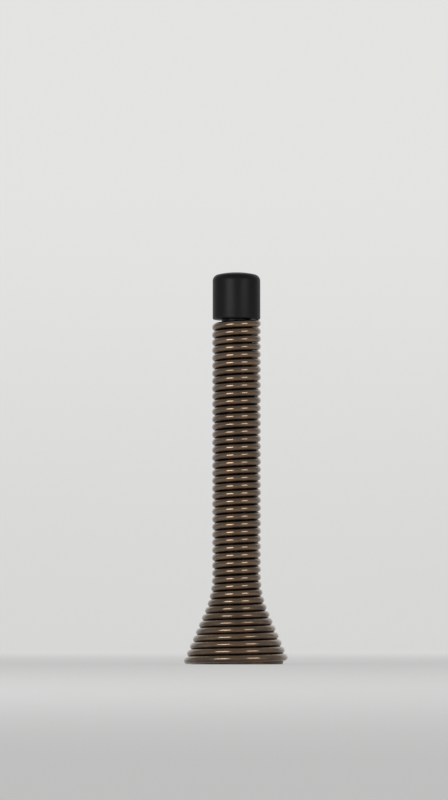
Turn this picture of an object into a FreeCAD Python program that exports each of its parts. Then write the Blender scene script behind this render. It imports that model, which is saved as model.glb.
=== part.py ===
import FreeCAD, Part
import os
from math import ceil, cos, radians, sin, sqrt, tan

from FreeCAD import Vector

# A spring door stop, in millimetres. One round steel wire is wound turn on turn into a straight
# shaft that flares out into a foot. A rubber tip is pushed into the free end of the shaft. A
# threaded mounting hub is screwed into the foot, and the wall screw that belongs through the hub
# is kept inside the shaft, standing on its head in the hub's countersink.
#
# Frame: +Z is the axis of the coil, from the foot up to the tip. The origin is at the middle of
# the foot, on the plane that the foot stands on. The front is towards -Y.

# Coil: the wire, and the outline that its middle line follows
WIRE_DIAMETER = 1.475
TURN_GAP = 0.02              # air between neighbouring turns
COIL_LENGTH = 67.0           # from the foot to the top of the wire, to the nearest half turn
SHAFT_OUTER_DIAMETER = 9.53
FOOT_OUTER_DIAMETER = 20.475
FLARE_ANGLE = 23.1           # degrees between the foot's cone and the axis
FLARE_BEND_RADIUS = 18.2     # bend between the shaft and the cone

# Rubber tip: head above the coil, ribbed stem inside it
TIP_HEAD_LENGTH = 9.2
TIP_SET_IN = 0.12            # head's side, in from the outside of the coil
TIP_EDGE_RADIUS = 1.3
TIP_DOME_RISE = 0.35
TIP_SEAT_EDGE_RADIUS = 0.3
STEM_LENGTH = 9.0
STEM_LEAD_IN = 1.1           # chamfer at the stem's free end
STEM_CLEARANCE = 0.06        # between the ribs and the coil's bore
RIB_COUNT = 3
RIB_WIDTH = 1.5
RIB_HEIGHT = 0.35

# Mounting hub: a cone that screws into the foot's inside
HUB_HEIGHT = 7.0
HUB_THREAD_DEPTH = 0.28      # how far the crests reach between the turns
HUB_THREAD_CLEARANCE = 0.08  # air between the groove and the wire
HUB_THREAD_SPREAD = 64.0     # degrees of the groove's arc each side of its bottom
HUB_THREAD_RUN_OUT = 2       # half turns that the groove is cut past each end of the hub
HUB_EDGE_CHAMFER = 0.35
SCREW_HOLE_CLEARANCE = 0.33  # on the diameter, around the screw's shank

# Wall screw: flat head, cross drive, tapered point
SCREW_LENGTH = 25.4
SCREW_HEAD_DIAMETER = 8.2
SCREW_HEAD_ANGLE = 82.0      # degrees, the whole angle of the head's cone
SCREW_HEAD_RIM = 0.25
SCREW_SHANK_DIAMETER = 4.17
SCREW_SHANK_LENGTH = 9.0     # plain stretch, from the head's face
SCREW_ROOT_DIAMETER = 3.0
SCREW_POINT_LENGTH = 5.5
SCREW_POINT_DIAMETER = 0.3
HEAD_CLEARANCE = 0.1         # around the head in the countersink's mouth
DRIVE_SPAN = 4.4
DRIVE_WING_WIDTH = 0.95
DRIVE_WING_BOTTOM_WIDTH = 0.57
DRIVE_DEPTH = 1.9
DRIVE_DRAFT = 26.0           # degrees that the ends of the wings lean in towards the bottom

SEAT_GAP = 0.02              # between two pieces that rest on each other

# Worked out from the sizes above
WIRE_RADIUS = WIRE_DIAMETER / 2
HALF_PITCH = (WIRE_DIAMETER + TURN_GAP) / 2
SHAFT_RADIUS = SHAFT_OUTER_DIAMETER / 2 - WIRE_RADIUS
FOOT_RADIUS = FOOT_OUTER_DIAMETER / 2 - WIRE_RADIUS
BORE_RADIUS = SHAFT_RADIUS - WIRE_RADIUS
FLARE = radians(FLARE_ANGLE)
BEND_SPREAD = FLARE_BEND_RADIUS * (1 - cos(FLARE))
CONE_RUN = (FOOT_RADIUS - SHAFT_RADIUS - BEND_SPREAD) / sin(FLARE)
BEND_RUN = FLARE_BEND_RADIUS * FLARE
FLARE_HEIGHT = CONE_RUN * cos(FLARE) + FLARE_BEND_RADIUS * sin(FLARE)
SHAFT_RUN = COIL_LENGTH - WIRE_DIAMETER - FLARE_HEIGHT
HALF_TURNS = round((CONE_RUN + BEND_RUN + SHAFT_RUN) / HALF_PITCH)
HALF_HEAD_ANGLE = radians(SCREW_HEAD_ANGLE / 2)
COUNTERSINK_RADIUS = SCREW_HEAD_DIAMETER / 2 + HEAD_CLEARANCE
SCREW_HOLE_RADIUS = (SCREW_SHANK_DIAMETER + SCREW_HOLE_CLEARANCE) / 2
COUNTERSINK_DEPTH = (COUNTERSINK_RADIUS - SCREW_HOLE_RADIUS) / tan(HALF_HEAD_ANGLE)


def slope(run):
    """Lean of the coil's outline from the axis, this far along the outline from the foot."""
    past_cone = max(0.0, run - CONE_RUN)
    return max(0.0, FLARE - past_cone / FLARE_BEND_RADIUS)


def outline(run):
    """Radius and height of the wire's middle, this far along the outline from the foot."""
    lean = slope(run)
    on_cone = min(run, CONE_RUN)
    on_shaft = max(0.0, run - CONE_RUN - BEND_RUN)
    bend_in = FLARE_BEND_RADIUS * (cos(lean) - cos(FLARE))
    bend_up = FLARE_BEND_RADIUS * (sin(FLARE) - sin(lean))
    radius = FOOT_RADIUS - on_cone * sin(FLARE) - bend_in
    height = WIRE_RADIUS + on_cone * cos(FLARE) + bend_up + on_shaft
    return radius, height


def side_of(half_turn):
    """The wire starts at -X, and is on the other side after each half turn."""
    return -1 if half_turn % 2 == 0 else 1


def wire_point(half_turn):
    """Middle of the wire after this many half turns, counted up from its lower end."""
    radius, height = outline(half_turn * HALF_PITCH)
    return Vector(side_of(half_turn) * radius, 0, height)


def half_turn_points(half_turn):
    """Start, middle and end of one half turn.

    Each half turn is a flat half circle, tilted so that it climbs half a pitch. Neighbours meet
    in one tangent, and the line stays within a tenth of a millimetre of a true helix.
    """
    start = wire_point(half_turn)
    end = wire_point(half_turn + 1)
    centre = (start + end) * 0.5
    bulge = side_of(half_turn) * (end - start).Length / 2
    return start, centre + Vector(0, bulge, 0), end


def revolved(points):
    """Solid of revolution about the axis, from corners given as radius and height."""
    corners = [Vector(radius, 0, height) for radius, height in points]
    corners.append(corners[0])
    profile = Part.Face(Part.makePolygon(corners))
    return profile.revolve(Vector(0, 0, 0), Vector(0, 0, 1), 360)


def coil_spring():
    """The wire, as one tube along all its half turns."""
    arcs = [Part.Arc(*half_turn_points(number)).toShape() for number in range(HALF_TURNS)]
    middle_line = Part.Wire(arcs)
    section = Part.Circle(wire_point(0), Vector(0, 1, 0), WIRE_RADIUS).toShape()
    return middle_line.makePipeShell([Part.Wire([section])], True, False)


def coil_top():
    """Height of the upper end of the wire, where the tip is seated."""
    return wire_point(HALF_TURNS).z + WIRE_RADIUS


def rubber_tip():
    """Domed head with rounded edges, and a stem whose ribs grip the coil's bore."""
    seat = coil_top() + SEAT_GAP
    top = seat + TIP_HEAD_LENGTH
    shoulder = top - TIP_DOME_RISE
    head_radius = SHAFT_OUTER_DIAMETER / 2 - TIP_SET_IN
    rib_radius = BORE_RADIUS - STEM_CLEARANCE
    stem_radius = rib_radius - RIB_HEIGHT
    stem_end = seat - STEM_LENGTH
    ribs_span = STEM_LENGTH - STEM_LEAD_IN
    rib_step = ribs_span / RIB_COUNT

    def at(radius, height):
        return Vector(radius, 0, height)

    def line(start, end):
        return Part.LineSegment(start, end).toShape()

    def corner(start, end, centre, bend):
        """Quarter circle between two points, bulging away from its centre."""
        outward = (start + end) * 0.5 - centre
        return Part.Arc(start, centre + outward.normalize() * bend, end).toShape()

    # The dome's edge blends into the side with a quarter circle.
    dome_edge = at(head_radius - TIP_EDGE_RADIUS, shoulder)
    dome_radius = (dome_edge.x ** 2 + TIP_DOME_RISE ** 2) / (2 * TIP_DOME_RISE)
    half_way = dome_edge.x / 2
    half_way_drop = dome_radius - sqrt(dome_radius ** 2 - half_way ** 2)
    dome_middle = at(half_way, top - half_way_drop)
    side_top = at(head_radius, shoulder - TIP_EDGE_RADIUS)
    side_low = at(head_radius, seat + TIP_SEAT_EDGE_RADIUS)
    seat_outer = at(head_radius - TIP_SEAT_EDGE_RADIUS, seat)
    edges = [
        Part.Arc(at(0, top), dome_middle, dome_edge).toShape(),
        corner(dome_edge, side_top, at(dome_edge.x, side_top.z), TIP_EDGE_RADIUS),
        line(side_top, side_low),
        corner(side_low, seat_outer, at(seat_outer.x, side_low.z), TIP_SEAT_EDGE_RADIUS),
        line(seat_outer, at(stem_radius, seat)),
    ]
    below = at(stem_radius, seat)
    for rib in range(RIB_COUNT):
        middle = seat - rib_step / 2 - rib * rib_step
        rib_top = at(stem_radius, middle + RIB_WIDTH / 2)
        rib_low = at(stem_radius, middle - RIB_WIDTH / 2)
        edges.append(line(below, rib_top))
        edges.append(Part.Arc(rib_top, at(rib_radius, middle), rib_low).toShape())
        below = rib_low
    lead_in_top = at(stem_radius, stem_end + STEM_LEAD_IN)
    lead_in_low = at(stem_radius - STEM_LEAD_IN / 2, stem_end)
    edges.append(line(below, lead_in_top))
    edges.append(line(lead_in_top, lead_in_low))
    edges.append(line(lead_in_low, at(0, stem_end)))
    edges.append(line(at(0, stem_end), at(0, top)))
    return Part.Face(Part.Wire(edges)).revolve(Vector(0, 0, 0), Vector(0, 0, 1), 360)


def hub_crest_radius(height):
    """Radius of the hub's thread crests, parallel to the foot's cone."""
    middle = FOOT_RADIUS - (height - WIRE_RADIUS) * tan(FLARE)
    return middle - (WIRE_RADIUS - HUB_THREAD_DEPTH) / cos(FLARE)


def groove_cutter(half_turn):
    """One half turn of the hub's groove: the sector of the wire that faces the hub, with its air."""
    start, middle, end = half_turn_points(half_turn)
    centre = (start + end) * 0.5
    lean = slope(half_turn * HALF_PITCH)
    side = side_of(half_turn)
    towards_hub = Vector(-side * cos(lean), 0, -sin(lean))
    along = Vector(-side * sin(lean), 0, cos(lean))
    reach = WIRE_RADIUS + HUB_THREAD_CLEARANCE
    spread = radians(HUB_THREAD_SPREAD)
    upper = start + towards_hub * (reach * cos(spread)) + along * (reach * sin(spread))
    lower = start + towards_hub * (reach * cos(spread)) - along * (reach * sin(spread))
    bottom = start + towards_hub * reach
    sector = [
        Part.Arc(upper, bottom, lower).toShape(),
        Part.LineSegment(lower, start).toShape(),
        Part.LineSegment(start, upper).toShape(),
    ]
    axis = (start - centre).cross(middle - centre)
    return Part.Face(Part.Wire(sector)).revolve(centre, axis, 180)


def mounting_hub():
    """Cone with a screw hole, a countersink and the groove that the foot's turns lie in."""
    body = revolved([
        (SCREW_HOLE_RADIUS, 0),
        (hub_crest_radius(0) - HUB_EDGE_CHAMFER, 0),
        (hub_crest_radius(HUB_EDGE_CHAMFER), HUB_EDGE_CHAMFER),
        (hub_crest_radius(HUB_HEIGHT - HUB_EDGE_CHAMFER), HUB_HEIGHT - HUB_EDGE_CHAMFER),
        (hub_crest_radius(HUB_HEIGHT) - HUB_EDGE_CHAMFER, HUB_HEIGHT),
        (COUNTERSINK_RADIUS, HUB_HEIGHT),
        (SCREW_HOLE_RADIUS, HUB_HEIGHT - COUNTERSINK_DEPTH),
    ])
    half_turns_inside = ceil(HUB_HEIGHT / (HALF_PITCH * cos(FLARE)))
    cuts = range(-HUB_THREAD_RUN_OUT, half_turns_inside + HUB_THREAD_RUN_OUT)
    return body.cut([groove_cutter(number) for number in cuts])


def drive_wing():
    """One wing of the cross recess, pointing up from the origin, closing up as it goes."""
    bottom_span = DRIVE_SPAN - 2 * DRIVE_DEPTH * tan(radians(DRIVE_DRAFT))
    mouth = Part.makePolygon(rectangle(DRIVE_SPAN, DRIVE_WING_WIDTH, 0))
    bottom = Part.makePolygon(rectangle(bottom_span, DRIVE_WING_BOTTOM_WIDTH, DRIVE_DEPTH))
    return Part.makeLoft([mouth, bottom], True, True)


def rectangle(length, width, height):
    """Corners of a closed rectangle about the axis, at this height."""
    x = length / 2
    y = width / 2
    return [Vector(-x, -y, height), Vector(x, -y, height), Vector(x, y, height),
            Vector(-x, y, height), Vector(-x, -y, height)]


def mounting_screw():
    """Flat-head screw, stored head down: its face rests in the mouth of the hub's countersink."""
    head = SCREW_HEAD_DIAMETER / 2
    shank = SCREW_SHANK_DIAMETER / 2
    root = SCREW_ROOT_DIAMETER / 2
    cone_height = (head - shank) / tan(HALF_HEAD_ANGLE)
    screw = revolved([
        (0, 0),
        (head, 0),
        (head, SCREW_HEAD_RIM),
        (shank, SCREW_HEAD_RIM + cone_height),
        (shank, SCREW_SHANK_LENGTH),
        (root, SCREW_SHANK_LENGTH + (shank - root)),
        (root, SCREW_LENGTH - SCREW_POINT_LENGTH),
        (SCREW_POINT_DIAMETER / 2, SCREW_LENGTH),
        (0, SCREW_LENGTH),
    ])
    wing = drive_wing()
    crossed = wing.copy()
    crossed.rotate(Vector(0, 0, 0), Vector(0, 0, 1), 90)
    screw = screw.cut([wing, crossed])
    sunk = HEAD_CLEARANCE / tan(HALF_HEAD_ANGLE)
    screw.translate(Vector(0, 0, HUB_HEIGHT - sunk + SEAT_GAP))
    return screw


PIECES = {
    "coil_spring": coil_spring,
    "rubber_tip": rubber_tip,
    "mounting_hub": mounting_hub,
    "mounting_screw": mounting_screw,
}

os.makedirs("parts", exist_ok=True)
for name, make in PIECES.items():
    shape = make()
    shape.exportStep(f"parts/{name}.step")
    print(f"{name}: {len(shape.Faces)} faces, {shape.Volume:.1f} mm3")
print(f"overall height {coil_top() + SEAT_GAP + TIP_HEAD_LENGTH:.2f} mm")
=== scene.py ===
from math import atan, cos, pi, radians, sin, sqrt, tan

import bpy
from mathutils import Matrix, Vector


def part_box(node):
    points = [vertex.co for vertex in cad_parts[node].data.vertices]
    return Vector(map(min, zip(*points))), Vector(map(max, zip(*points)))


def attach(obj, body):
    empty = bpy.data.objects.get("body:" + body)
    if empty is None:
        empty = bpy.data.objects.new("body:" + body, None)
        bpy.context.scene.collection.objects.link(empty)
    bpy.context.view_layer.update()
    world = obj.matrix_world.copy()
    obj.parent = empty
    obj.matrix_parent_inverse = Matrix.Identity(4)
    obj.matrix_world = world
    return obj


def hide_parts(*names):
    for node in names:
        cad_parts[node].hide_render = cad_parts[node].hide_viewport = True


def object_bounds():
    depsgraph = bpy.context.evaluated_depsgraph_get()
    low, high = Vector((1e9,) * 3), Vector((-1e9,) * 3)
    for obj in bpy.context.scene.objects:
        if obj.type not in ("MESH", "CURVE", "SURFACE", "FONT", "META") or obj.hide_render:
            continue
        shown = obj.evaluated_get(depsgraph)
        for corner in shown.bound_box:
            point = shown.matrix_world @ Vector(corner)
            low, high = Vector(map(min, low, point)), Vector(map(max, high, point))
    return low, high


# A spring door stop: a close-wound wire coil that flares out into a foot, with a rubber tip, a
# threaded hub inside the foot and its wall screw kept inside the coil. Everything is in metres.
# +Z is the coil's axis, the foot stands on z = 0 and the front is towards -Y.

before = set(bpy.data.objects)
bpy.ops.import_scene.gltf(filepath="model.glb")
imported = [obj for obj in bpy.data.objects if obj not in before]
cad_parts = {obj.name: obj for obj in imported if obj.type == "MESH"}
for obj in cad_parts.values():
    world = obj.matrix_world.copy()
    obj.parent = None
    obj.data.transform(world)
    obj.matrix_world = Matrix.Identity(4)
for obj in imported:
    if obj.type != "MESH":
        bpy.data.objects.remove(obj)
cad_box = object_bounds()

MM = 0.001

# Coil: the wire, and the outline that its middle line follows
WIRE_DIAMETER = 1.475 * MM
TURN_GAP = 0.02 * MM
COIL_LENGTH = 67.0 * MM
SHAFT_OUTER_DIAMETER = 9.53 * MM
FOOT_OUTER_DIAMETER = 20.475 * MM
FLARE_ANGLE = radians(23.1)
FLARE_BEND_RADIUS = 18.2 * MM
STEPS_PER_HALF_TURN = 32
WIRE_SIDES = 24

# Rubber tip, whose outside and ends come from the CAD node's box
TIP_HEAD_LENGTH = 9.2 * MM
TIP_EDGE_RADIUS = 1.3 * MM
TIP_DOME_RISE = 0.35 * MM
TIP_SEAT_EDGE_RADIUS = 0.3 * MM
STEM_RADIUS = 2.88 * MM
STEM_LEAD_IN = 1.1 * MM
RIB_COUNT = 3
RIB_WIDTH = 1.5 * MM
RIB_HEIGHT = 0.35 * MM
TIP_SIDES = 160
DOME_STEPS = 10
EDGE_STEPS = 10
SEAT_EDGE_STEPS = 5
RIB_STEPS = 8
SHARP_ANGLE = radians(35)

# Wall screw's thread, on the CAD node's plain root
SCREW_SHANK_LENGTH = 9.0 * MM
SCREW_SHANK_DIAMETER = 4.17 * MM
SCREW_ROOT_DIAMETER = 3.0 * MM
SCREW_POINT_LENGTH = 5.5 * MM
THREAD_PITCH = 2.6 * MM
THREAD_FOOT_WIDTH = 0.8 * MM
THREAD_CREST_SHARE = 0.12     # of the ridge's foot
THREAD_POINT_SHARE = 0.25     # of its whole size, left at the screw's very point
THREAD_SINK = 0.06 * MM       # of its foot into the root
THREAD_RUN_IN = 1.6 * MM
THREAD_STEPS_PER_TURN = 48

# Where the photograph shows the object, in its own pixels, and how far away the camera stands
PHOTO_WIDTH = 448
PHOTO_HEIGHT = 800
TIP_TOP_ROW = 272.5
FOOT_ROW = 664.2
AXIS_COLUMN = 236.5
CAMERA_DISTANCE = 0.9
CAMERA_HEIGHT = 5 * MM
SENSOR_SIZE = 36.0

# Studio: two softboxes, at their azimuths from the front, a lamp for the backdrop, and a dim room
SOFTBOX_DISTANCE = 0.6
SOFTBOX_BOTTOM = 0.01
SOFTBOX_HEIGHT = 0.2
LEFT_AZIMUTH = radians(-32)
LEFT_WIDTH = 0.33
LEFT_RADIANCE = 5.2
RIGHT_AZIMUTH = radians(38.5)
RIGHT_WIDTH = 0.29
RIGHT_RADIANCE = 3.3
BACKDROP_LAMP_SIZE = 1.2
BACKDROP_LAMP_RADIANCE = 2.4
ROOM_LIGHT = (0.36, 0.36, 0.365)
FLOOR_FRONT = -1.6
FLOOR_BACK = 1.1
COVE_RADIUS = 0.5
WALL_TOP = 1.9
FLOOR_HALF_WIDTH = 2.2
COVE_STEPS = 24
PAPER_COLOUR = (0.76, 0.76, 0.75, 1)
PAPER_GLOW = (0.86, 0.86, 0.85, 1)
FLOOR_GLOW_SHARE = 0.42
WALL_GLOW_SHARE = 0.7
GLOW_RISE = 0.26

# Finishes: the two colours that each one varies between, and how dull the plain metals are
# The coil's dark brown between the turns: partly real patina, partly painted shade
PATINA_AND_SHADE_DARK = (0.060, 0.036, 0.022, 1)
PATINA_AND_SHADE_WARM = (0.115, 0.055, 0.025, 1)
BRASS_DARK = (0.120, 0.077, 0.045, 1)
BRASS_LIGHT = (0.300, 0.201, 0.122, 1)
RUBBER_DARK = (0.0045, 0.0042, 0.0044, 1)
RUBBER_LIGHT = (0.0085, 0.0078, 0.0082, 1)
SCREW_DARK = (0.16, 0.113, 0.068, 1)
SCREW_LIGHT = (0.33, 0.245, 0.150, 1)
SCREW_DULLNESS = 0.24
HUB_DARK = (0.10, 0.070, 0.043, 1)
HUB_LIGHT = (0.20, 0.146, 0.090, 1)
HUB_DULLNESS = 0.34
STREAKS_PER_WIRE_RADIUS = (7.0, 7.0, 0.22)     # across the drawn wire both ways, and along it


# Node trees

class Value:
    """A number that a node gives. Plain arithmetic on it adds Math nodes to the same tree."""

    def __init__(self, graph, socket):
        self.graph = graph
        self.socket = socket

    def maths(self, operation, *inputs):
        made = self.graph.add("ShaderNodeMath", {"operation": operation}, dict(enumerate(inputs)))
        return Value(self.graph, made.outputs[0])

    def __add__(self, other):
        return self.maths("ADD", self, other)

    def __sub__(self, other):
        return self.maths("SUBTRACT", self, other)

    def __rsub__(self, other):
        return self.maths("SUBTRACT", other, self)

    def __mul__(self, other):
        return self.maths("MULTIPLY", self, other)

    def __truediv__(self, other):
        return self.maths("DIVIDE", self, other)

    __radd__ = __add__
    __rmul__ = __mul__

    def sine(self):
        return self.maths("SINE", self)

    def cosine(self):
        return self.maths("COSINE", self)

    def whole(self):
        return self.maths("FLOOR", self)

    def nearest_whole(self):
        return self.maths("ROUND", self)

    def at_least(self, other):
        return self.maths("MAXIMUM", self, other)

    def at_most(self, other):
        return self.maths("MINIMUM", self, other)

    def swing(self, amount):
        """A pattern from 0 to 1, made to swing this much in all, about 0."""
        return (self - 0.5) * amount


class Graph:
    """A shader or geometry tree, with one method that adds any node."""

    def __init__(self, tree):
        self.tree = tree

    def add(self, kind, settings=None, inputs=None):
        """A node of this type: its settings first, then values or links by socket name or number."""
        made = self.tree.nodes.new(kind)
        for name, value in (settings or {}).items():
            setattr(made, name, value)
        for key, value in (inputs or {}).items():
            self.fill(socket_called(made.inputs, key), value)
        return made

    def fill(self, socket, value):
        if isinstance(value, Value):
            value = value.socket
        if isinstance(value, bpy.types.NodeSocket):
            self.tree.links.new(value, socket)
        else:
            socket.default_value = value

    def value(self, kind, output, settings=None, inputs=None):
        """The number that a new node gives."""
        made = self.add(kind, settings, inputs)
        return Value(self, socket_called(made.outputs, output))

    def vector(self, operation, *inputs):
        """The vector that a Vector Math node gives."""
        made = self.add("ShaderNodeVectorMath", {"operation": operation}, dict(enumerate(inputs)))
        return made.outputs["Vector"]

    def dot(self, first, second):
        made = self.add("ShaderNodeVectorMath", {"operation": "DOT_PRODUCT"}, {0: first, 1: second})
        return Value(self, made.outputs["Value"])

    def xyz(self, x, y, z):
        return self.add("ShaderNodeCombineXYZ", inputs={0: x, 1: y, 2: z}).outputs[0]


def socket_called(sockets, key):
    """The socket with this number, or the one in use with this name."""
    if isinstance(key, int):
        return sockets[key]
    return next(socket for socket in sockets if socket.name == key and socket.enabled)


# Materials

class Finish(Graph):
    """A material's tree, with the patterns that the finishes share."""

    def __init__(self, name):
        self.material = bpy.data.materials.new(name)
        self.material.use_nodes = True
        super().__init__(self.material.node_tree)
        self.tree.nodes.clear()
        self.place = self.add("ShaderNodeTexCoord").outputs["Object"]

    def noise(self, lumps, detail, roughness, place=None):
        """Noise from 0 to 1, with about this many lumps to the metre or to each unit of the place."""
        return self.value("ShaderNodeTexNoise", 0, None, {
            "Vector": place or self.place,
            "Scale": lumps,
            "Detail": detail,
            "Roughness": roughness,
        })

    def ramp(self, value, low, high):
        """Rises smoothly from 0 to 1 while the value goes from low to high."""
        return self.value("ShaderNodeMapRange", 0, {"interpolation_type": "SMOOTHSTEP"}, {
            "Value": value,
            "From Min": low,
            "From Max": high,
        })

    def mixed(self, share, first, second):
        """The first colour where the share is 0, and the second where it is 1."""
        made = self.add("ShaderNodeMix", {"data_type": "RGBA"}, {
            "Factor": share,
            "A": first,
            "B": second,
        })
        return socket_called(made.outputs, "Result")

    def bump(self, height, depth, under=None):
        """Relief this deep, over the relief under it."""
        inputs = {"Height": height, "Distance": depth}
        if under:
            inputs["Normal"] = under
        return self.add("ShaderNodeBump", None, inputs).outputs[0]

    def surface(self, **sockets):
        """Ends the tree in one Principled shader, and returns the material."""
        named = {name.replace("_", " "): value for name, value in sockets.items()}
        shader = self.add("ShaderNodeBsdfPrincipled", None, named)
        self.add("ShaderNodeOutputMaterial", None, {"Surface": shader.outputs[0]})
        return self.material


def antique_brass_wire():
    """Plated wire: warm satin crowns, rubbed by handling and painted lighter on their upper side, and dark
    brown between the turns that is partly real patina and partly painted shade.
    """
    finish = Finish("antique_brass_wire")
    around = finish.add("ShaderNodeAttribute", {"attribute_name": "wire_surface"}).outputs["Vector"]
    parts = finish.add("ShaderNodeSeparateXYZ", None, {0: around})
    # The wire's brass shows where it faces out of the coil, partly as real rubbing. Its upper side is
    # painted lighter, and the dark brown between the turns is partly real patina and partly painted shade.
    crown_and_upper_light = Value(finish, parts.outputs[0]) + Value(finish, parts.outputs[1]) * 0.2
    drawn = finish.vector("MULTIPLY", around, STREAKS_PER_WIRE_RADIUS)
    streaks = finish.noise(lumps=1, detail=4, roughness=0.6, place=drawn)
    cloud = finish.noise(lumps=260, detail=3, roughness=0.55)
    grain = finish.noise(lumps=2600, detail=3, roughness=0.6)
    uneven = cloud.swing(0.8) + streaks.swing(0.4)
    # Painted light and shade: each turn's upper side counts as more rubbed, so it is lighter, and the dark
    # brown between the turns stands partly for shade.
    rubbed_and_lit = finish.ramp(crown_and_upper_light + uneven, low=0.5, high=1.05)
    warm = finish.ramp(cloud + streaks.swing(0.5), low=0.35, high=0.75)
    patina_and_shade = finish.mixed(warm, PATINA_AND_SHADE_DARK, PATINA_AND_SHADE_WARM)
    brass = finish.mixed(streaks, BRASS_DARK, BRASS_LIGHT)
    colour = finish.mixed(rubbed_and_lit, patina_and_shade, brass)
    dulled = (1 - rubbed_and_lit) * 0.22
    roughness = dulled + streaks * 0.06 + grain * 0.05 + 0.09
    relief = finish.bump(streaks, 0.006 * MM)
    relief = finish.bump(grain, 0.003 * MM, relief)
    return finish.surface(Base_Color=colour, Metallic=1.0, Roughness=roughness, Normal=relief,
                          Coat_Weight=0.8, Coat_Roughness=0.1)


def black_rubber():
    """Neutral black moulded rubber: a satin skin with a fine grain and faint cloudy bloom."""
    finish = Finish("black_rubber")
    bloom = finish.noise(lumps=180, detail=4, roughness=0.6)
    grain = finish.noise(lumps=5200, detail=3, roughness=0.6)
    colour = finish.mixed(bloom, RUBBER_DARK, RUBBER_LIGHT)
    roughness = bloom * 0.14 + grain * 0.08 + 0.32
    relief = finish.bump(grain, 0.006 * MM)
    relief = finish.bump(bloom, 0.03 * MM, relief)
    return finish.surface(Base_Color=colour, Roughness=roughness, Normal=relief, Specular_IOR_Level=0.2)


def plated_metal(name, dark, light, dullness):
    """Antique plating on a cast or turned piece: cloudy brown over a warm metal."""
    finish = Finish(name)
    cloud = finish.noise(lumps=320, detail=4, roughness=0.6)
    grain = finish.noise(lumps=2400, detail=4, roughness=0.65)
    share = finish.ramp(cloud + grain.swing(0.4), low=0.3, high=0.72)
    colour = finish.mixed(share, dark, light)
    roughness = grain * 0.16 + (1 - share) * 0.12 + dullness
    relief = finish.bump(grain, 0.012 * MM)
    return finish.surface(Base_Color=colour, Metallic=1.0, Roughness=roughness, Normal=relief)


# Pieces made by Geometry Nodes

class Maker(Graph):
    """A geometry tree with named inputs, that turns into a plain mesh object."""

    def __init__(self, name, numbers, counts, material):
        super().__init__(bpy.data.node_groups.new(name, "GeometryNodeTree"))
        self.name = name
        self.settings = {}
        for kind, group in (("NodeSocketFloat", numbers), ("NodeSocketInt", counts)):
            for label, value in group.items():
                self.named_input(label, kind, value)
        self.named_input("Material", "NodeSocketMaterial", material)
        self.tree.interface.new_socket("Geometry", in_out="OUTPUT", socket_type="NodeSocketGeometry")
        self.source = self.add("NodeGroupInput")

    def named_input(self, label, kind, value):
        socket = self.tree.interface.new_socket(label, in_out="INPUT", socket_type=kind)
        self.settings[socket.identifier] = value

    def given(self, label):
        """One of the tree's named inputs, as a number to reckon with."""
        return Value(self, self.source.outputs[label])

    def point_line(self, count):
        """An open curve of this many points, one on the other, still to be put in place."""
        line = self.add("GeometryNodeMeshLine", None, {"Count": count})
        return self.add("GeometryNodeMeshToCurve", None, {"Mesh": line.outputs[0]}).outputs[0]

    def placed(self, geometry, position):
        made = self.add("GeometryNodeSetPosition", None, {"Geometry": geometry, "Position": position})
        return made.outputs[0]

    def stored(self, geometry, name, vector):
        made = self.add("GeometryNodeStoreNamedAttribute",
                        {"data_type": "FLOAT_VECTOR", "domain": "POINT"},
                        {"Geometry": geometry, "Name": name, "Value": vector})
        return made.outputs[0]

    def recalled(self, name):
        made = self.add("GeometryNodeInputNamedAttribute", {"data_type": "FLOAT_VECTOR"}, {"Name": name})
        return socket_called(made.outputs, "Attribute")

    def forgotten(self, geometry, name):
        return self.add("GeometryNodeRemoveAttribute", None, {"Geometry": geometry, "Name": name}).outputs[0]

    def upright(self, curve):
        """Gives the curve level normals, so that a section keeps its sides along it."""
        return self.add("GeometryNodeSetCurveNormal", {"mode": "Z_UP"}, {"Curve": curve}).outputs[0]

    def swept(self, curve, section):
        inputs = {"Curve": curve, "Profile Curve": section, "Fill Caps": True}
        return self.add("GeometryNodeCurveToMesh", None, inputs).outputs[0]

    def shaded(self, geometry, smooth, faces=True):
        """Shades these faces, or all of them, smooth or flat."""
        inputs = {"Geometry": geometry, "Selection": faces, "Shade Smooth": smooth}
        return self.add("GeometryNodeSetShadeSmooth", None, inputs).outputs[0]

    def baked(self, geometry):
        """Ends the tree in its material, and returns the evaluated result as a mesh object."""
        dressed = self.add("GeometryNodeSetMaterial", None, {
            "Geometry": geometry,
            "Material": self.source.outputs["Material"],
        })
        single = self.add("GeometryNodeRealizeInstances", None, {"Geometry": dressed.outputs[0]})
        self.add("NodeGroupOutput", None, {"Geometry": single.outputs[0]})
        piece = bpy.data.objects.new(self.name, bpy.data.meshes.new(self.name))
        modifier = piece.modifiers.new(self.name, "NODES")
        modifier.node_group = self.tree
        for identifier, value in self.settings.items():
            modifier[identifier] = value
        bpy.context.scene.collection.objects.link(piece)
        evaluated = piece.evaluated_get(bpy.context.evaluated_depsgraph_get())
        mesh = bpy.data.meshes.new_from_object(evaluated)
        piece.modifiers.clear()
        piece.data = mesh
        return piece


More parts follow.
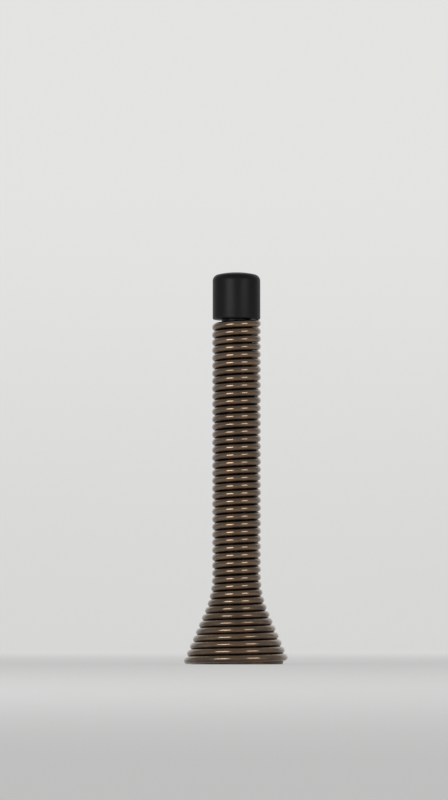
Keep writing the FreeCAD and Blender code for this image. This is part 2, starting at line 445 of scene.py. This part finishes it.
def wound_wire(material):
    """The coil: one round wire swept along a helix that follows the flared outline."""
    maker = Maker("spring_wire", {
        "Wire Diameter": WIRE_DIAMETER,
        "Turn Gap": TURN_GAP,
        "Coil Length": COIL_LENGTH,
        "Shaft Outer Diameter": SHAFT_OUTER_DIAMETER,
        "Foot Outer Diameter": FOOT_OUTER_DIAMETER,
        "Flare Angle": FLARE_ANGLE,
        "Flare Bend Radius": FLARE_BEND_RADIUS,
    }, {
        "Steps per Half Turn": STEPS_PER_HALF_TURN,
        "Wire Sides": WIRE_SIDES,
    }, material)
    wire = maker.given("Wire Diameter") / 2
    half_pitch = wire + maker.given("Turn Gap") / 2
    shaft = maker.given("Shaft Outer Diameter") / 2 - wire
    foot = maker.given("Foot Outer Diameter") / 2 - wire
    flare = maker.given("Flare Angle")
    bend = maker.given("Flare Bend Radius")
    steps = maker.given("Steps per Half Turn")
    flare_in = flare.sine()
    flare_up = flare.cosine()
    cone_run = (foot - shaft - bend * (1 - flare_up)) / flare_in
    bend_run = bend * flare
    flare_height = cone_run * flare_up + bend * flare_in
    shaft_run = maker.given("Coil Length") - wire * 2 - flare_height
    half_turns = ((cone_run + bend_run + shaft_run) / half_pitch).nearest_whole()

    def lean_at(run):
        """The outline's lean from the axis, this far along it from the foot."""
        return (flare - (run - cone_run).at_least(0) / bend).at_least(0)

    def outline(run):
        """Radius and height of the wire's middle, this far along the outline from the foot."""
        lean = lean_at(run)
        on_cone = run.at_most(cone_run)
        on_shaft = (run - cone_run - bend_run).at_least(0)
        radius = foot - on_cone * flare_in - bend * (lean.cosine() - flare_up)
        height = wire + on_cone * flare_up + bend * (flare_in - lean.sine()) + on_shaft
        return radius, height

    # The wire starts at the left, goes round the front first and climbs half a pitch each half turn.
    travel = maker.value("GeometryNodeInputIndex", 0) / steps
    angle = (travel + 1) * pi
    east = angle.cosine()
    north = angle.sine()
    run = travel * half_pitch
    radius, height = outline(run)
    count = half_turns * steps + 1
    middle_line = maker.placed(maker.point_line(count), maker.xyz(radius * east, radius * north, height))

    # The wire's surface learns how far it faces out of the coil, up the coil, and along the wire.
    middle = maker.add("GeometryNodeInputPosition").outputs[0]
    lean = lean_at(run)
    out = maker.xyz(lean.cosine() * east, lean.cosine() * north, lean.sine())
    up = maker.xyz(lean.sine() * east * -1, lean.sine() * north * -1, lean.cosine())
    along = maker.value("GeometryNodeSplineParameter", "Length") / wire
    line = maker.stored(middle_line, "middle", middle)
    line = maker.stored(line, "out", out)
    line = maker.stored(line, "up", up)
    line = maker.stored(line, "along", maker.xyz(0, 0, along))

    section = maker.add("GeometryNodeCurvePrimitiveCircle", None, {
        "Resolution": maker.given("Wire Sides"),
        "Radius": wire,
    })
    tube = maker.swept(maker.upright(line), section.outputs[0])
    offset = maker.vector("SUBTRACT", middle, maker.recalled("middle"))
    faces_out = maker.dot(offset, maker.recalled("out")) / wire
    faces_up = maker.dot(offset, maker.recalled("up")) / wire
    surface = maker.vector("ADD", maker.recalled("along"), maker.xyz(faces_out, faces_up, 0))
    tube = maker.stored(tube, "wire_surface", surface)
    for helper in ("middle", "out", "up", "along"):
        tube = maker.forgotten(tube, helper)
    # The two end caps stay flat. They are the faces with as many corners as the wire has sides.
    corners = maker.value("GeometryNodeInputMeshFaceNeighbors", "Vertex Count")
    side_faces = corners.maths("LESS_THAN", corners, maker.given("Wire Sides"))
    tube = maker.shaded(tube, False)
    return maker.baked(maker.shaded(tube, True, side_faces))


def screw_thread(material):
    """The wall screw's thread: one sharp ridge wound up the root and out to the point."""
    low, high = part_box("mounting_screw")
    start = low.z + SCREW_SHANK_LENGTH - THREAD_RUN_IN / 2
    maker = Maker("mounting_screw_thread", {
        "Start Height": start,
        "Tip Height": high.z,
        "Point Length": SCREW_POINT_LENGTH,
        "Root Radius": SCREW_ROOT_DIAMETER / 2,
        "Crest Radius": SCREW_SHANK_DIAMETER / 2,
        "Pitch": THREAD_PITCH,
        "Foot Width": THREAD_FOOT_WIDTH,
        "Crest Share": THREAD_CREST_SHARE,
        "Point Share": THREAD_POINT_SHARE,
        "Run In": THREAD_RUN_IN,
    }, {"Steps per Turn": THREAD_STEPS_PER_TURN}, material)
    steps = maker.given("Steps per Turn")
    bottom = maker.given("Start Height")
    tip = maker.given("Tip Height")
    root = maker.given("Root Radius")
    ridge = maker.given("Crest Radius") - root
    turns = (tip - bottom) / maker.given("Pitch")
    index = maker.value("GeometryNodeInputIndex", 0)
    angle = index / steps * (2 * pi)
    height = (bottom + index / steps * maker.given("Pitch")).at_most(tip)
    narrowing = ((tip - height) / maker.given("Point Length")).at_most(1)
    running_in = ((height - bottom) / maker.given("Run In")).at_most(1)
    radius = root * narrowing - THREAD_SINK
    spot = maker.xyz(radius * angle.cosine(), radius * angle.sine(), height)
    line = maker.placed(maker.point_line((turns * steps).whole() + 1), spot)
    point_share = maker.given("Point Share")
    size = running_in * (narrowing * (1 - point_share) + point_share)
    line = maker.add("GeometryNodeSetCurveRadius", None, {"Curve": line, "Radius": size}).outputs[0]
    foot = maker.given("Foot Width") / 2
    crest = foot * maker.given("Crest Share")
    section = maker.add("GeometryNodeCurvePrimitiveQuadrilateral", {"mode": "POINTS"}, {
        "Point 1": maker.xyz(0, foot * -1, 0),
        "Point 2": maker.xyz(ridge, crest * -1, 0),
        "Point 3": maker.xyz(ridge, crest, 0),
        "Point 4": maker.xyz(0, foot, 0),
    })
    thread = maker.swept(maker.upright(line), section.outputs[0])
    return maker.baked(maker.shaded(thread, False))


# The rubber tip, turned from one outline

def arc_points(start, end, centre, steps):
    """Points of the arc from start to end about this centre, both ends included."""
    radius = (start - centre).length
    points = []
    for step in range(steps + 1):
        along = start.lerp(end, step / steps) - centre
        points.append(centre + along.normalized() * radius)
    return points


def turned(name, outline, sides, material):
    """Mesh of an outline of radius and height turned about the axis, closed at both poles."""
    vertices = [(0, 0, outline[0].y)]
    for point in outline[1:-1]:
        for side in range(sides):
            angle = 2 * pi * side / sides
            vertices.append((point.x * cos(angle), point.x * sin(angle), point.y))
    vertices.append((0, 0, outline[-1].y))
    rings = len(outline) - 2
    last = len(vertices) - 1
    faces = []
    for side in range(sides):
        beside = (side + 1) % sides
        faces.append((0, 1 + side, 1 + beside))
        for ring in range(rings - 1):
            upper = 1 + ring * sides
            lower = upper + sides
            faces.append((upper + side, lower + side, lower + beside, upper + beside))
        bottom = 1 + (rings - 1) * sides
        faces.append((bottom + beside, bottom + side, last))
    mesh = bpy.data.meshes.new(name)
    mesh.from_pydata(vertices, [], faces)
    mesh.materials.append(material)
    mesh.shade_smooth()
    mesh.set_sharp_from_angle(angle=SHARP_ANGLE)
    piece = bpy.data.objects.new(name, mesh)
    bpy.context.scene.collection.objects.link(piece)
    return piece


def bumper(material):
    """Domed head with rounded edges, and the ribbed stem that grips inside the coil."""
    low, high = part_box("rubber_tip")
    head_radius = high.x
    top = high.z
    seat = top - TIP_HEAD_LENGTH
    inset = head_radius - TIP_EDGE_RADIUS
    dome_radius = (inset ** 2 + TIP_DOME_RISE ** 2) / (2 * TIP_DOME_RISE)
    dome_centre = Vector((0, top - dome_radius))
    # The edge's arc runs smoothly into the dome and the side, which sets its middle's height.
    edge_rise = sqrt((dome_radius - TIP_EDGE_RADIUS) ** 2 - inset ** 2)
    edge_centre = dome_centre + Vector((inset, edge_rise))
    dome_edge = dome_centre + (edge_centre - dome_centre).normalized() * dome_radius
    dome = arc_points(Vector((0, top)), dome_edge, dome_centre, DOME_STEPS)
    side_top = Vector((head_radius, edge_centre.y))
    edge = arc_points(dome_edge, side_top, edge_centre, EDGE_STEPS)
    side_low = Vector((head_radius, seat + TIP_SEAT_EDGE_RADIUS))
    seat_outer = Vector((head_radius - TIP_SEAT_EDGE_RADIUS, seat))
    seat_edge_centre = Vector((seat_outer.x, side_low.y))
    seat_edge = arc_points(side_low, seat_outer, seat_edge_centre, SEAT_EDGE_STEPS)
    outline = dome + edge[1:] + seat_edge + [Vector((STEM_RADIUS, seat))]
    rib_step = (seat - low.z - STEM_LEAD_IN) / RIB_COUNT
    rib_bend = (RIB_WIDTH ** 2 / 4 + RIB_HEIGHT ** 2) / (2 * RIB_HEIGHT)
    for rib in range(RIB_COUNT):
        middle = seat - rib_step / 2 - rib * rib_step
        rib_top = Vector((STEM_RADIUS, middle + RIB_WIDTH / 2))
        rib_low = Vector((STEM_RADIUS, middle - RIB_WIDTH / 2))
        centre = Vector((STEM_RADIUS + RIB_HEIGHT - rib_bend, middle))
        outline += arc_points(rib_top, rib_low, centre, RIB_STEPS)
    outline.append(Vector((STEM_RADIUS, low.z + STEM_LEAD_IN)))
    outline.append(Vector((STEM_RADIUS - STEM_LEAD_IN / 2, low.z)))
    outline.append(Vector((0, low.z)))
    return turned("bumper_tip", outline, TIP_SIDES, material)


# The studio

def pale_paper():
    """Matt paper that looks paler up the wall, adds no light to the object and takes its shadow."""
    paper = Finish("studio_paper")
    matt = paper.add("ShaderNodeBsdfDiffuse", None, {"Color": PAPER_COLOUR})
    glow = paper.add("ShaderNodeEmission", None, {"Color": PAPER_GLOW})
    height = paper.value("ShaderNodeSeparateXYZ", 2, None, {0: paper.place})
    share = paper.ramp(height, 0, GLOW_RISE) * (WALL_GLOW_SHARE - FLOOR_GLOW_SHARE) + FLOOR_GLOW_SHARE
    ray = paper.add("ShaderNodeLightPath").outputs
    seen = Value(paper, ray["Is Camera Ray"]) + ray["Is Glossy Ray"] + ray["Is Transmission Ray"]
    both = paper.add("ShaderNodeMixShader", None, {
        0: seen.at_most(1) * share,
        1: matt.outputs[0],
        2: glow.outputs[0],
    })
    paper.add("ShaderNodeOutputMaterial", None, {"Surface": both.outputs[0]})
    return paper.material


def studio_floor():
    """Pale paper that runs back over the floor and curves up behind the object."""
    outline = [(FLOOR_FRONT, 0)]
    for step in range(COVE_STEPS + 1):
        turn = step / COVE_STEPS * pi / 2
        outline.append((FLOOR_BACK + COVE_RADIUS * sin(turn), COVE_RADIUS * (1 - cos(turn))))
    outline.append((FLOOR_BACK + COVE_RADIUS, WALL_TOP))
    vertices = [(x, y, z) for y, z in outline for x in (-FLOOR_HALF_WIDTH, FLOOR_HALF_WIDTH)]
    faces = [(2 * row, 2 * row + 1, 2 * row + 3, 2 * row + 2) for row in range(len(outline) - 1)]
    mesh = bpy.data.meshes.new("studio_floor")
    mesh.from_pydata(vertices, [], faces)
    mesh.shade_smooth()
    mesh.materials.append(pale_paper())
    floor = bpy.data.objects.new("studio_floor", mesh)
    bpy.context.scene.collection.objects.link(floor)


def soft_lamp(name, place, target, width, height, radiance):
    """A flat lamp that faces its target. Its power follows from its size and brightness."""
    lamp = bpy.data.lights.new(name, "AREA")
    lamp.shape = "RECTANGLE"
    lamp.size = width
    lamp.size_y = height
    lamp.energy = radiance * width * height * pi
    holder = bpy.data.objects.new(name, lamp)
    holder.location = place
    holder.rotation_euler = (target - place).to_track_quat("-Z", "Y").to_euler()
    bpy.context.scene.collection.objects.link(holder)


def studio_lights():
    """Two level softboxes at the front, which show as dashes on the turns, and the backdrop's lamp."""
    for name, azimuth, width, radiance in (
        ("softbox_left", LEFT_AZIMUTH, LEFT_WIDTH, LEFT_RADIANCE),
        ("softbox_right", RIGHT_AZIMUTH, RIGHT_WIDTH, RIGHT_RADIANCE),
    ):
        place = Vector((sin(azimuth), -cos(azimuth), 0)) * SOFTBOX_DISTANCE
        place.z = SOFTBOX_BOTTOM + SOFTBOX_HEIGHT / 2
        level_target = Vector((0, 0, place.z))
        soft_lamp(name, place, level_target, width, SOFTBOX_HEIGHT, radiance)
    place = Vector((0, FLOOR_BACK - COVE_RADIUS, WALL_TOP / 2))
    low_wall = Vector((0, FLOOR_BACK + COVE_RADIUS, COVE_RADIUS / 2))
    soft_lamp("backdrop_lamp", place, low_wall, BACKDROP_LAMP_SIZE, BACKDROP_LAMP_SIZE / 2,
              BACKDROP_LAMP_RADIANCE)


def dim_room():
    """The world as an even, dim room, which fills in the shadows."""
    world = bpy.data.worlds.new("room")
    world.use_nodes = True
    world.node_tree.nodes.clear()
    room = Graph(world.node_tree)
    light = room.add("ShaderNodeBackground", None, {"Color": (*ROOM_LIGHT, 1)})
    room.add("ShaderNodeOutputWorld", None, {"Surface": light.outputs[0]})
    bpy.context.scene.world = world


def photo_camera(tip_top):
    """A low camera, tipped up until the foot and the tip fall on their rows of the photograph."""
    below = CAMERA_HEIGHT / CAMERA_DISTANCE
    above = (tip_top - CAMERA_HEIGHT) / CAMERA_DISTANCE
    rows_below = FOOT_ROW - PHOTO_HEIGHT / 2
    rows_above = PHOTO_HEIGHT / 2 - TIP_TOP_ROW
    share = rows_below / rows_above
    # With t for the pitch's tangent, the foot and the tip fall on their rows when
    # (below + t) / (1 - below * t) is share times (above - t) / (1 + above * t), a quadratic in t.
    square = above - share * below
    single = (1 + share) * (1 + above * below)
    constant = below - share * above
    pitch = atan((sqrt(single ** 2 - 4 * square * constant) - single) / (2 * square))
    focal_rows = rows_below / tan(atan(below) + pitch)
    columns_right = AXIS_COLUMN - PHOTO_WIDTH / 2
    camera = bpy.data.cameras.new("photo_camera")
    camera.sensor_width = SENSOR_SIZE
    camera.lens = focal_rows * SENSOR_SIZE / PHOTO_HEIGHT
    holder = bpy.data.objects.new("photo_camera", camera)
    holder.location = (-columns_right * CAMERA_DISTANCE / focal_rows, -CAMERA_DISTANCE, CAMERA_HEIGHT)
    holder.rotation_euler = (pi / 2 + pitch, 0, 0)
    bpy.context.scene.collection.objects.link(holder)
    bpy.context.scene.camera = holder


# Putting it together

def dress_node(node, material):
    """Gives a CAD node this material instead of its plain one."""
    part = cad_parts[node]
    part.data.materials.clear()
    part.data.materials.append(material)


plating = plated_metal("screw_plating", SCREW_DARK, SCREW_LIGHT, SCREW_DULLNESS)
coil = wound_wire(antique_brass_wire())
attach(coil, "root")
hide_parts("coil_spring")

tip = bumper(black_rubber())
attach(tip, "root")
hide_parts("rubber_tip")

thread = screw_thread(plating)
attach(thread, "root")

dress_node("mounting_screw", plating)
dress_node("mounting_hub", plated_metal("cast_hub", HUB_DARK, HUB_LIGHT, HUB_DULLNESS))

studio_floor()
studio_lights()
dim_room()
photo_camera(cad_box[1].z)
bpy.context.scene.view_settings.view_transform = "Standard"
